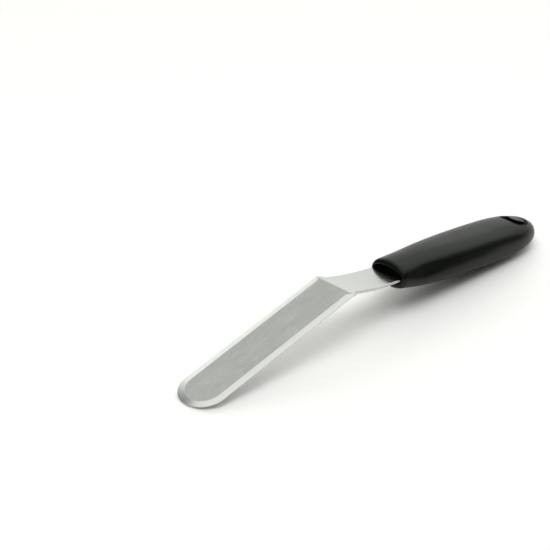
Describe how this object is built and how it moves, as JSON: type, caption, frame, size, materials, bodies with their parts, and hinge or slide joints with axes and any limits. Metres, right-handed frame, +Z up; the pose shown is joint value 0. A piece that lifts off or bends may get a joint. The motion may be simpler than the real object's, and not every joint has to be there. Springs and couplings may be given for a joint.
{
  "type": "offset spatula",
  "caption": "Small offset icing spatula: a round-tipped steel blade cranked up from a soft-grip handle with a hang hole.",
  "frame": {"origin": "on the table, under the middle of the tool's overall length and width, with the tool lying on its blade tip and handle and its bend uppermost", "axes": "+X along the tool from the blade to the handle's butt, +Y across the blade, +Z up from the table"},
  "size_m": [0.2196, 0.026, 0.0225],
  "materials": {
    "stainless_steel": "satin polished, fine grain along the blade",
    "soft_elastomer": "satin, fine moulded texture",
    "hard_black_plastic": "semi-gloss",
    "core_plastic": "matte, hidden inside the handle"
  },
  "bodies": {
    "root": {"blade": "stainless_steel", "grip_sleeve": "soft_elastomer", "mouth_collar": "hard_black_plastic", "core_upper_shell": "core_plastic", "core_lower_shell": "core_plastic", "hang_hole_liner": "hard_black_plastic"}
  },
  "joints": []
}
